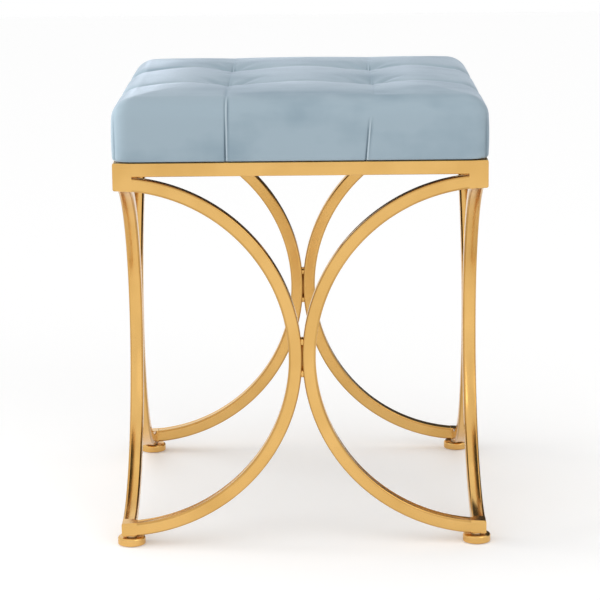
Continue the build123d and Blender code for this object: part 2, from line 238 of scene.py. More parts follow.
class ShapeTree(Nodes):
    """A Geometry Nodes tree that makes a piece from named sizes."""

    def __init__(self, name: str) -> None:
        """Start an empty tree."""
        super().__init__(bpy.data.node_groups.new(name, "GeometryNodeTree"))
        self.tree.interface.new_socket("Geometry", in_out="OUTPUT", socket_type="NodeSocketGeometry")
        self.given = self.add("NodeGroupInput")
        self.output = self.add("NodeGroupOutput")
        self.identifiers: dict[str, str] = {}

    def sizes(self, *names: str) -> list[Socket]:
        """Add named sizes and return their sockets."""
        for name in names:
            item = self.tree.interface.new_socket(name, in_out="INPUT", socket_type="NodeSocketFloat")
            self.identifiers[name] = item.identifier
        return [self.given.outputs[name] for name in names]

    def point(self, x: Value, y: Value, z: Value) -> Socket:
        """Join three numbers into a vector's socket."""
        return self.add("ShaderNodeCombineXYZ", {"X": x, "Y": y, "Z": z}).outputs["Vector"]

    def parts(self, vector: Socket) -> tuple[Socket, ...]:
        """Split a vector into its three numbers' sockets."""
        return tuple(self.add("ShaderNodeSeparateXYZ", {"Vector": vector}).outputs)

    def here(self) -> Socket:
        """A point's own place."""
        return self.add("GeometryNodeInputPosition").outputs["Position"]

    def signed_power(self, term: Socket, power: float) -> Socket:
        """A number's size raised to a power, with the number's own sign."""
        return self.times(self.math("SIGN", term), self.math("POWER", self.math("ABSOLUTE", term), power))

    def moved(self, geometry: Socket, place: Socket) -> Socket:
        """Put every point of a geometry at a worked out place and return the result."""
        inputs = {"Geometry": geometry, "Position": place}
        return self.add("GeometryNodeSetPosition", inputs).outputs["Geometry"]

    def shifted(self, geometry: Socket, **changes: Socket) -> Socket:
        """Move or turn a whole geometry by the Transform node's inputs and return the result."""
        return self.add("GeometryNodeTransform", {"Geometry": geometry, **changes}).outputs["Geometry"]

    def copies(self, points: Socket, instance: Socket, **changes: Socket) -> Socket:
        """Put a copy of a geometry on each point and return the copies."""
        inputs = {"Points": points, "Instance": instance, **changes}
        return self.add("GeometryNodeInstanceOnPoints", inputs).outputs["Instances"]

    def kept(self, geometry: Socket, value: Socket, kind: str) -> tuple[Socket, Socket]:
        """Keep a value on a geometry's points.

        Args:
            geometry: The geometry.
            value: The value to keep.
            kind: FLOAT or VECTOR.

        Returns:
            The geometry's socket and the kept value's socket.
        """
        node = self.add("GeometryNodeCaptureAttribute", {"Geometry": geometry})
        node.capture_items.new(kind, "kept")
        self.feed(node.inputs["kept"], value)
        return node.outputs["Geometry"], node.outputs["kept"]

    def close(self, geometry: Socket, material: Material) -> None:
        """End the tree in plain, smooth meshes with a finish."""
        smooth = self.add("GeometryNodeSetShadeSmooth", {"Geometry": geometry}).outputs["Geometry"]
        real = self.add("GeometryNodeRealizeInstances", {"Geometry": smooth}).outputs["Geometry"]
        dressed = self.add("GeometryNodeSetMaterial", {"Geometry": real, "Material": material})
        self.feed(self.output.inputs["Geometry"], dressed.outputs["Geometry"])

    def grow(self, name: str, **sizes: float) -> Piece:
        """Make a piece from the tree as a plain mesh.

        Args:
            name: The piece's name.
            sizes: The tree's sizes, with spaces as underscores.

        Returns:
            The piece, with its faces turned outward.
        """
        piece = bpy.data.objects.new(name, bpy.data.meshes.new(name))
        bpy.context.scene.collection.objects.link(piece)
        grown = piece.modifiers.new("shape", "NODES")
        grown.node_group = self.tree
        for key, value in sizes.items():
            grown[self.identifiers[key.replace("_", " ")]] = float(value)
        apply_modifiers(piece)
        turn_outward(piece)
        return piece


@dataclass(frozen=True)
class GoldFinish:
    """Satin gold lacquer on steel: a warm metal with faint clouds, painted edge shade and a fine orange peel.
    """

    light: Colour = (0.78, 0.475, 0.158)
    deep: Colour = (0.65, 0.375, 0.108)
    # Painted shade: the colour that the rounded edges are darkened towards, in patches.
    edge: Colour = (0.38, 0.19, 0.045)
    cloud_scale: float = 15.0
    cloud_detail: float = 2.0
    cloud_start: float = 0.15
    cloud_end: float = 0.6
    edge_shade_scale: float = 18.0
    least_edge_shade: float = 0.3
    most_edge_shade: float = 0.6
    roughness: float = 0.20
    smoother: float = 0.02
    rougher: float = 0.03
    streak_scale: float = 70.0
    peel_scale: float = 140.0
    peel_detail: float = 1.0
    peel_height: float = 0.00006
    peel_strength: float = 0.06

    def build(self) -> Material:
        """Return the material."""
        tree = ShaderTree("satin_gold")
        place = tree.place()
        clouds = tree.cloud(place, self.cloud_scale, self.cloud_detail)
        lacquer = tree.ramp(clouds, self.deep, self.light, self.cloud_start, self.cloud_end)
        # Painted shade: the rounded edges, marked by the legs' edge attribute, darken towards the edge colour
        # in patches.
        edge_shade_patches = tree.span(tree.cloud(place, self.edge_shade_scale), self.least_edge_shade, self.most_edge_shade)
        painted_edge_shade = tree.times(tree.kept_value(EDGE), edge_shade_patches)
        streaks = tree.cloud(place, self.streak_scale, self.cloud_detail)
        tree.set(
            Base_Color=tree.mixed(painted_edge_shade, lacquer, self.edge),
            Roughness=tree.span(streaks, self.roughness - self.smoother, self.roughness + self.rougher),
            Metallic=1.0,
        )
        tree.bump(tree.cloud(place, self.peel_scale, self.peel_detail), self.peel_height, self.peel_strength)
        return tree.material


@dataclass(frozen=True)
class VelvetFinish:
    """Short pile velvet: grey blue, with leaning pile patches, a soft sheen, a fine nap and painted fold
    shade.
    """

    base: Colour = (0.218, 0.302, 0.364)
    leaning: Colour = (0.332, 0.420, 0.480)
    # Painted shade deep in the folds, and a painted highlight on the folds' lips.
    painted_fold_shade: Colour = (0.09, 0.135, 0.175)
    painted_lip_highlight: Colour = (0.60, 0.69, 0.74)
    patch_stretch: Point = (1, 1, 0.7)
    patch_scale: float = 11.0
    patch_detail: float = 4.0
    brush_stretch: Point = (7.0, 26.0, 20.0)
    brush_scale: float = 1.0
    streaks: float = 0.9
    nap_start: float = 0.62
    nap_end: float = 1.28
    pile_scale: float = 1900.0
    pile_detail: float = 2.0
    pile_height: float = 0.0004
    pile_strength: float = 0.30
    roughness: float = 0.82
    specular: float = 0.25
    sheen: Colour = (0.80, 0.88, 1.0)
    sheen_weight: float = 0.75
    sheen_roughness: float = 0.30

    def build(self) -> Material:
        """Return the material."""
        tree = ShaderTree("velvet")
        patches = tree.cloud(tree.place(self.patch_stretch), self.patch_scale, self.patch_detail)
        brushed = tree.cloud(tree.place(self.brush_stretch), self.brush_scale)
        nap = tree.math("MULTIPLY_ADD", brushed, self.streaks, patches)
        pile = tree.ramp(nap, self.base, self.leaning, self.nap_start, self.nap_end)
        # Painted light: the folds' kept shade darkens the pile, and below 0 lightens it as a painted
        # highlight.
        fold = tree.kept_value(FOLD_SHADE)
        for colour, most in ((self.painted_fold_shade, 1.0), (self.painted_lip_highlight, -1.0)):
            share = tree.add("ShaderNodeMapRange", {"Value": fold, "From Min": 0.0, "From Max": most})
            pile = tree.mixed(share.outputs["Result"], pile, colour)
        hairs = tree.cloud(tree.place(), self.pile_scale, self.pile_detail)
        tree.bump(hairs, self.pile_height, self.pile_strength)
        tree.set(
            Base_Color=pile, Roughness=self.roughness, Specular_IOR_Level=self.specular,
            Sheen_Weight=self.sheen_weight, Sheen_Roughness=self.sheen_roughness, Sheen_Tint=(*self.sheen, 1),
        )
        return tree.material


@dataclass(frozen=True)
class PlainFinish:
    """A finish with two near colours in clouds and a grain in its bump."""

    name: str
    low: Colour
    high: Colour
    roughness: float
    metallic: float = 0.0
    play: float = 0.06
    cloud_scale: float = 60.0
    grain_scale: float = 900.0
    grain_detail: float = 2.0
    grain_depth: float = 0.0001
    grain_strength: float = 0.5

    def build(self) -> Material:
        """Return the material."""
        tree = ShaderTree(self.name)
        place = tree.place()
        clouds = tree.cloud(place, self.cloud_scale)
        grain = tree.cloud(place, self.grain_scale, self.grain_detail)
        tree.set(
            Base_Color=tree.ramp(clouds, self.low, self.high, tree.NOISE_LOW, tree.NOISE_HIGH),
            Roughness=tree.span(grain, self.roughness - self.play, self.roughness + self.play),
            Metallic=self.metallic,
        )
        tree.bump(grain, self.grain_depth, self.grain_strength)
        return tree.material


@dataclass(frozen=True)
class Finishes:
    """All the finishes, built once."""

    gold: Material
    velvet: Material
    steel: Material
    pad: Material
    plywood: Material
    twine: Material
    washer: Material
    dust: Material

    @classmethod
    def build(cls) -> "Finishes":
        """Build every finish and return them."""
        steel = PlainFinish(
            "zinc_steel", (0.50, 0.51, 0.52), (0.66, 0.67, 0.68), roughness=0.36, metallic=1.0
        )
        pad = PlainFinish("floor_pad", (0.035, 0.032, 0.03), (0.06, 0.055, 0.05), roughness=0.8)
        plywood = PlainFinish(
            "plywood", (0.46, 0.30, 0.16), (0.62, 0.44, 0.26), roughness=0.7, cloud_scale=25.0
        )
        twine = PlainFinish("twine", (0.62, 0.58, 0.50), (0.75, 0.71, 0.63), roughness=0.8)
        washer = PlainFinish("tie_washer", (0.72, 0.72, 0.70), (0.80, 0.80, 0.78), roughness=0.5)
        dust = PlainFinish(
            "dust_cloth", (0.012, 0.012, 0.013), (0.03, 0.03, 0.032), roughness=0.9,
            grain_scale=700.0, grain_depth=0.0004,
        )
        finishes = (GoldFinish(), VelvetFinish(), steel, pad, plywood, twine, washer, dust)
        return cls(*(finish.build() for finish in finishes))


def hump(distance: float, width: float) -> float:
    """A smooth hump that is 1 in its middle and fades over a width."""
    return math.exp(-((distance / width) ** 2))


def new_piece(name: str, vertices: Iterable, faces: Iterable, material: Material) -> Piece:
    """Make a smooth mesh object at the origin and link it to the scene.

    Args:
        name: The object's name.
        vertices: Its points, in metres.
        faces: Its faces, as point indices.
        material: Its finish.

    Returns:
        The new object.
    """
    mesh = bpy.data.meshes.new(name)
    mesh.from_pydata([tuple(v) for v in vertices], [], [tuple(f) for f in faces])
    mesh.update()
    mesh.polygons.foreach_set("use_smooth", [True] * len(mesh.polygons))
    piece = bpy.data.objects.new(name, mesh)
    bpy.context.scene.collection.objects.link(piece)
    mesh.materials.append(material)
    return piece


def apply_modifiers(piece: Piece) -> None:
    """Turn a piece's modifiers into its plain mesh."""
    depsgraph = bpy.context.evaluated_depsgraph_get()
    baked = bpy.data.meshes.new_from_object(piece.evaluated_get(depsgraph))
    piece.modifiers.clear()
    old = piece.data
    piece.data = baked
    bpy.data.meshes.remove(old)


def turn_outward(piece: Piece, fill: bool = False) -> None:
    """Turn a piece's faces outward, after closing its openings with flat faces where that is asked for."""
    shell = bmesh.new()
    shell.from_mesh(piece.data)
    if fill:
        bmesh.ops.holes_fill(shell, edges=[edge for edge in shell.edges if edge.is_boundary])
    bmesh.ops.recalc_face_normals(shell, faces=shell.faces)
    shell.to_mesh(piece.data)
    shell.free()


def even_shading(piece: Piece) -> None:
    """Keep a piece's flat faces flat to the eye and its sharp edges sharp, with smooth roundings between."""
    piece.data.set_sharp_from_angle(angle=SHARP_ANGLE)
    weighted = piece.modifiers.new("even", "WEIGHTED_NORMAL")
    weighted.mode = "FACE_AREA"
    weighted.keep_sharp = True
    apply_modifiers(piece)


def paint(nodes: dict[str, Piece], names: Iterable[str], material: Material) -> None:
    """Give CAD nodes a finish."""
    for name in names:
        mesh = nodes[name].data
        mesh.materials.clear()
        mesh.materials.append(material)


def mount(piece: Piece, slot: Slot, *nodes: str) -> None:
    """Put a piece on the ottoman's own body.

    Args:
        piece: The piece.
        slot: The piece's material slot in the record; not used.
        nodes: The CAD nodes that it stands for, if any.
    """
    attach(piece, BODY)
    if nodes:
        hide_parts(*nodes)


@dataclass
class GoldFrame:
    """The welded frame's looks: smooth bent legs, and corners that are welded, ground flush and lacquered."""

    half: float = 0.200
    tube: float = 0.015
    depth: float = 0.0144
    radius: float = 0.1993
    middle: float = 0.2103
    rail_top: float = 0.4251
    butt_gap: float = 0.0004
    edge_round: float = 0.0021
    edge_steps: int = 8
    dish: float = 0.0006
    slit: float = 0.0004
    steps: int = 132
    spacing: float = 0.0008
    proud: float = 0.00012
    tack_level: float = 0.0175
    tack_wide: float = 0.0034
    tack_high: float = 0.0045
    tack_sunk: float = 0.0009
    tack_segments: int = 20
    tack_rings: int = 14
    tack_waves: float = 9.0
    tack_wave: float = 0.05
    tack_blunt: float = 0.45
    root_wide: float = 0.0016
    root_deep: float = 0.0080
    upright_round: float = 0.0004
    weld_steps: int = 4
    upper_arm: float = 0.0205
    lower_arm: float = 0.0168
    stem_place: float = 0.190
    stem_hole: float = 0.00625
    stem_top: float = 0.0246
    stem_segments: int = 24

    def bent_tube(self, material: Material) -> ShapeTree:
        """The rule for a leg: a rounded tube, dished by its bending, swept round a half circle.

        Args:
            material: The gold finish.

        Returns:
            The tree.
        """
        tree = ShapeTree("bent_tube")
        radius, depth, width, rounding, dish = tree.sizes("radius", "depth", "width", "rounding", "dish")
        middle, half, spread = tree.sizes("middle", "half", "spread")
        short, hand, turn = tree.sizes("short", "hand", "turn")
        half_depth = tree.times(depth, 0.5)
        half_width = tree.times(width, 0.5)

        line = tree.add("GeometryNodeCurvePrimitiveLine", {"End": (1, 0, 0)})
        stations = {"Curve": line.outputs["Curve"], "Count": self.steps + 1}
        path = tree.add("GeometryNodeResampleCurve", stations)
        factor = tree.add("GeometryNodeSplineParameter").outputs["Factor"]
        to_and_fro = tree.math("MULTIPLY_ADD", factor, 2, -1)
        path_curve, share = tree.kept(path.outputs["Curve"], to_and_fro, "FLOAT")

        outline = tree.add("GeometryNodeCurvePrimitiveQuadrilateral", {"Width": width, "Height": depth})
        corners = {"Curve": outline.outputs["Curve"], "Radius": rounding, "Count": self.edge_steps}
        soft = tree.add("GeometryNodeFilletCurve", corners, mode="POLY")
        points = {"Curve": soft.outputs["Curve"], "Length": self.spacing}
        fine = tree.add("GeometryNodeResampleCurve", points, mode="LENGTH")
        across, radial, _ = tree.parts(tree.here())
        flat = tree.less(half_width, rounding)
        out = tree.math("POWER", tree.math("DIVIDE", across, flat), 2)
        hollow = tree.times(dish, tree.math("MAXIMUM", 0, tree.less(1, out)))
        sunk = tree.times(tree.math("SIGN", radial), hollow)
        section = tree.moved(fine.outputs["Curve"], tree.point(across, tree.less(radial, sunk), 0))
        section, offset = tree.kept(section, tree.here(), "VECTOR")

        sweep = {"Curve": path_curve, "Profile Curve": section, "Fill Caps": True}
        swept = tree.add("GeometryNodeCurveToMesh", sweep)
        across, radial, _ = tree.parts(offset)
        reach = tree.math("ADD", tree.less(radius, half_depth), radial)
        wide = tree.times(spread, reach)
        angle = tree.times(share, tree.math("ARCCOSINE", tree.math("DIVIDE", short, wide)))
        inward = tree.less(half, tree.times(wide, tree.math("COSINE", angle)))
        outward = tree.math("ADD", tree.less(half, half_width), across)
        height = tree.math("MULTIPLY_ADD", reach, tree.math("SINE", angle), middle)
        bent = tree.moved(swept.outputs["Mesh"], tree.point(tree.times(hand, inward), outward, height))

        # Mark the rounded edges, which the gold finish darkens as painted shade.
        past_flat = tree.math("GREATER_THAN", tree.math("ABSOLUTE", across), flat)
        past_side = tree.math("GREATER_THAN", tree.math("ABSOLUTE", radial), tree.less(half_depth, rounding))
        edges = {"Geometry": bent, "Name": EDGE, "Value": tree.times(past_flat, past_side)}
        painted_edge_shade = tree.add("GeometryNodeStoreNamedAttribute", edges)
        tree.close(tree.shifted(painted_edge_shade.outputs["Geometry"], Rotation=tree.point(0, 0, turn)), material)
        return tree

    def leg(self, name: str, tree: ShapeTree) -> Piece:
        """Bend one leg's tube round its half circle.

        Args:
            name: The leg's node name, its side first and then the end that it belongs to.
            tree: The rule for a leg.

        Returns:
            The leg.
        """
        side, end, _ = name.split("_")
        hand = -1 if end in ("left", "front") else 1
        runs_through = side in ("left", "right")
        piece = tree.grow(
            f"{name}_bent",
            radius=self.radius, depth=self.depth, width=self.tube, rounding=self.edge_round, dish=self.dish,
            middle=self.middle, half=self.half, spread=(self.half - self.slit / 2) / self.radius,
            short=0.0 if runs_through else self.tube + self.butt_gap,
            hand=hand * HANDS[side], turn=SIDES[side],
        )
        if runs_through:
            self.bore(piece)
        even_shading(piece)
        return piece

    def bore(self, piece: Piece) -> None:
        """Cut the holes that the feet's stems go through out of a piece."""
        drill = bmesh.new()
        for x in (-self.stem_place, self.stem_place):
            for y in (-self.stem_place, self.stem_place):
                bmesh.ops.create_cone(
                    drill, cap_ends=True, segments=self.stem_segments, radius1=self.stem_hole / 2,
                    radius2=self.stem_hole / 2, depth=2 * self.stem_top, matrix=Matrix.Translation((x, y, 0)),
                )
        mesh = bpy.data.meshes.new("drill")
        drill.to_mesh(mesh)
        drill.free()
        tool = bpy.data.objects.new("drill", mesh)
        bpy.context.scene.collection.objects.link(tool)
        cut = piece.modifiers.new("bore", "BOOLEAN")
        cut.operation = "DIFFERENCE"
        cut.solver = "EXACT"
        cut.object = tool
        apply_modifiers(piece)
        bpy.data.objects.remove(tool)
        bpy.data.meshes.remove(mesh)

    def weld_level(self, inward: float, upper: bool, top: bool) -> float:
        """The height of a ground corner weld's face.

        Args:
            inward: The distance from the frame's corner.
            upper: Whether this is an upper corner.
            top: Whether this is the weld's upper face.

        Returns:
            The height.
        """
        if upper and top:
            return self.rail_top + self.proud / 2
        reach = self.radius - self.depth if upper or top else self.radius
        rise = math.sqrt(reach**2 - inward**2)
        if upper:
            return self.middle + rise - self.proud
        return self.middle - rise + self.proud if top else self.middle - rise - self.proud

    def corner_fill(self, name: str, upper: bool, material: Material) -> Piece:
        """The ground welds that close the frame's four upper or lower corners, as one piece.

        Args:
            name: The piece's name.
            upper: Whether these are the upper corners, where the rails meet the legs.
            material: The gold finish.

        Returns:
            The piece.
        """
        arm = self.upper_arm if upper else self.lower_arm
        thick = self.tube + 2 * self.proud
        outer = self.half + self.proud
        outline = ((0, 0), (arm, 0), (arm, thick), (thick, thick), (thick, arm), (0, arm))
        rounded_runs = {(0, 1), (2, 3), (3, 4), (0, 5)}
        count = len(outline)
        vertices = []
        faces = []
        for sign_x, sign_y in CORNERS.values():
            start = len(vertices)
            for top in (False, True):
                for u, v in outline:
                    level = self.weld_level(max(u, v), upper, top)
                    vertices.append((sign_x * (outer - u), sign_y * (outer - v), level))
            faces.append(tuple(start + i for i in range(count)))
            faces.append(tuple(start + count + i for i in range(count)))
            for i in range(count):
                j = (i + 1) % count
                faces.append((start + i, start + j, start + count + j, start + count + i))
        piece = new_piece(name, vertices, faces, material)
        turn_outward(piece)
        weights = []
        for edge in piece.data.edges:
            first, last = (index % (2 * count) for index in sorted(edge.vertices))
            run = tuple(sorted((first % count, last % count)))
            crisp = self.upright_round / self.edge_round if run == (0, 0) else 0.0
            weights.append(1.0 if run in rounded_runs else crisp)
        piece.data.attributes.new("bevel_weight_edge", "FLOAT", "EDGE").data.foreach_set("value", weights)
        bevel = piece.modifiers.new("edge", "BEVEL")
        bevel.width = self.edge_round
        bevel.segments = self.weld_steps
        bevel.limit_method = "WEIGHT"
        apply_modifiers(piece)
        if not upper:
            self.bore(piece)
        even_shading(piece)
        return piece

    def middle_welds(self, material: Material) -> Piece:
        """The weld tacks between each side's two legs, with the thin root weld that joins them.

        Args:
            material: The gold finish.

        Returns:
            All the tacks as one piece.
        """
        tree = ShapeTree("weld_tacks")
        reach, middle, level = tree.sizes("reach", "middle", "level")
        wide, deep, high = tree.sizes("wide", "deep", "high")
        root_wide, root_deep = tree.sizes("root wide", "root deep")

        fineness = {"Segments": self.tack_segments, "Rings": self.tack_rings, "Radius": 1.0}
        ball = tree.add("GeometryNodeMeshUVSphere", fineness)
        u, v, w = tree.parts(tree.here())
        ripple = tree.math("SINE", tree.times(w, self.tack_waves))
        wave = tree.math("MULTIPLY_ADD", ripple, self.tack_wave, 1)
        blunt = tree.signed_power(v, self.tack_blunt)
        bead = tree.moved(ball.outputs["Mesh"], tree.point(
            tree.times(tree.times(u, wide), wave), tree.times(blunt, deep), tree.times(w, high),
        ))
        gap = tree.times(level, 2)
        pair = tree.add("GeometryNodeMeshLine", {
            "Count": 2,
            "Start Location": tree.point(0, 0, tree.times(level, -1)),
            "Offset": tree.point(0, 0, gap),
        })
        root = tree.add("GeometryNodeMeshCube", {"Size": tree.point(root_wide, root_deep, gap)})
        weld = tree.add("GeometryNodeJoinGeometry")
        for part in (tree.copies(pair.outputs["Mesh"], bead), root.outputs["Mesh"]):
            tree.feed(weld.inputs["Geometry"], part)

        ring = tree.add("GeometryNodeMeshCircle", {"Vertices": len(SIDES), "Radius": reach})
        index = tree.add("GeometryNodeInputIndex").outputs["Index"]
        turn = tree.point(0, 0, tree.math("MULTIPLY_ADD", index, math.pi / 2, -math.pi / 2))
        sides = tree.copies(ring.outputs["Mesh"], weld.outputs["Geometry"], Rotation=turn)
        tree.close(tree.shifted(sides, Translation=tree.point(0, 0, middle)), material)
        return tree.grow(
            "middle_welds", reach=self.half - self.tube / 2, middle=self.middle, level=self.tack_level,
            wide=self.tack_wide, deep=self.tube / 2 - self.tack_sunk, high=self.tack_high,
            root_wide=self.root_wide, root_deep=self.root_deep,
        )

    def dress(self, material: Material) -> None:
        """Put the smooth legs and the ground corners in the place of the plain ones."""
        tree = self.bent_tube(material)
        for name in LEGS:
            mount(self.leg(name, tree), Slot.GOLD, name)
        mount(self.corner_fill("upper_corner_welds", True, material), Slot.GOLD, "corner_welds")
        mount(self.middle_welds(material), Slot.GOLD, "tack_welds")
        mount(self.corner_fill("lower_corner_welds", False, material), Slot.GOLD)


@dataclass
class DustCover:
    """The black cloth stapled under the seat: a stretched sheet that sags a little in the middle."""

    low: Vector
    high: Vector
    sag: float = 0.0028
    sag_power: float = 1.6
    ripple: float = 0.0004
    ripple_scale: float = 5.0
    ripple_seed: float = 3.0
    cells: int = 60

    def build(self, material: Material) -> Piece:
        """Make the sheet."""
        half = (self.high.x - self.low.x) / 2
        height = (self.low.z + self.high.z) / 2
        row = self.cells + 1
        vertices = []
        faces = []
        for j in range(row):
            for i in range(row):
                u = 2 * i / self.cells - 1
                v = 2 * j / self.cells - 1
                room = ((1 - u * u) * (1 - v * v)) ** self.sag_power
                place = (u * self.ripple_scale, v * self.ripple_scale, self.ripple_seed)
                wave = self.ripple * noise.noise(place)
                vertices.append((u * half, v * half, height - room * (self.sag + wave)))
                if i < self.cells and j < self.cells:
                    first = j * row + i
                    faces.append((first, first + row, first + row + 1, first + 1))
        return new_piece("dust_cloth", vertices, faces, material)


@dataclass
class TuftButtons:
    """The velvet covered buttons at the bottom of the tufts."""

    seat_height: float = 0.4848
    spacing_x: float = 0.158
    spacing_y: float = 0.146
    radius: float = 0.0082
    thickness: float = 0.0036
    segments: int = 36
    rings: int = 14
    gathers: int = 9
    gather_depth: float = 0.012
    flatness: float = 0.7

    def build(self, material: Material) -> Piece:
        """Make the four buttons as one piece."""
        tree = ShapeTree("covered_buttons")
        spacing_x, spacing_y, height = tree.sizes("spacing x", "spacing y", "height")
        radius, thickness = tree.sizes("radius", "thickness")

        fineness = {"Segments": self.segments, "Rings": self.rings, "Radius": 1.0}
        ball = tree.add("GeometryNodeMeshUVSphere", fineness)
        u, v, w = tree.parts(tree.here())
        turn = tree.times(tree.math("ARCTAN2", v, u), self.gathers)
        wide = tree.times(radius, tree.math("MULTIPLY_ADD", tree.math("COSINE", turn), self.gather_depth, 1))
        crown = tree.math("MULTIPLY_ADD", tree.signed_power(w, self.flatness), 0.5, 0.5)
        button = tree.moved(ball.outputs["Mesh"], tree.point(
            tree.times(u, wide), tree.times(v, wide), tree.times(crown, thickness),
        ))
        grid = tree.add("GeometryNodeMeshGrid", {
            "Size X": spacing_x, "Size Y": spacing_y, "Vertices X": 2, "Vertices Y": 2,
        })
        four = tree.copies(grid.outputs["Mesh"], button)
        tree.close(tree.shifted(four, Translation=tree.point(0, 0, height)), material)
        return tree.grow(
            "covered_buttons", spacing_x=self.spacing_x, spacing_y=self.spacing_y, height=self.seat_height,
            radius=self.radius, thickness=self.thickness,
        )


@dataclass(frozen=True)
class TopShade:
    """Painted shade of the top's folds: slits beside a tuft, and a line with a painted highlight on its lip
    across.
    """

    starts: float = 0.5
    slit_place: float = 0.0014
    slit_width: float = 0.0009
    slit_reach: float = 0.019
    slit_share: float = 0.75
    ridge_width: float = 0.0008
    ridge_share: float = 0.9
    line_width: float = 0.0012
    line_reach: float = 0.022
    line_least: float = 0.25
    line_more: float = 0.45
    lip_place: float = 0.0024
    lip_width: float = 0.0011
    lip_reach: float = 0.040
    lip_share: float = 0.40
    drag_share: float = 0.16
    edge_power: float = 0.5
    edge_gain: float = 2.2

    def at(self, column: float, row: float) -> float:
        """The shade at a distance across from a column of tufts and a distance along from a row."""
        nearest = math.hypot(column, row)
        slit = sum(hump(column - side, self.slit_width) for side in (-self.slit_place, self.slit_place))
        slit -= self.ridge_share * hump(column, self.ridge_width)
        strength = self.line_least + self.line_more * hump(nearest, self.line_reach)
        line = hump(row, self.line_width) * strength
        lip = hump(row - self.lip_place, self.lip_width) * (1 - hump(nearest, self.lip_reach))
        return self.slit_share * slit * hump(row, self.slit_reach) + line - self.lip_share * lip


@dataclass(frozen=True)
class SidePleat:
    """An upright pleat of the sides: a bright rolled lip between two grooves."""

    depth: float = 0.0030
    width: float = 0.0008
    lip: float = 0.0011
    left_place: float = 0.0010
    left_fade: float = 0.6
    lip_place: float = 0.0004
    right_place: float = 0.0020
    right_least: float = 0.25
    right_depth: float = 0.6
    right_tone: float = 0.8
    lip_tone: float = 0.75
    height_gain: float = 1.3

    def at(self, distance: float, height: float) -> tuple[float, float]:
        """The pleat beside its line.

        Args:
            distance: The distance from the line, to the right or rear.
            height: The height up the cushion, from 0 to 1.

        Returns:
            The depth, in metres, and the painted shade that it gives the velvet, below 0 a painted highlight
            on the lip.
        """
        rise = min(1.0, self.height_gain * height)
        left = hump(distance + self.left_place, self.width) * (1 - self.left_fade * rise)
        lip = hump(distance - self.lip_place, self.width)
        right = hump(distance - self.right_place, self.width)
        right *= self.right_least + (1 - self.right_least) * rise
        depth = self.depth * (left + self.right_depth * right) - self.lip * lip
        return depth, left + self.right_tone * right - self.lip_tone * lip


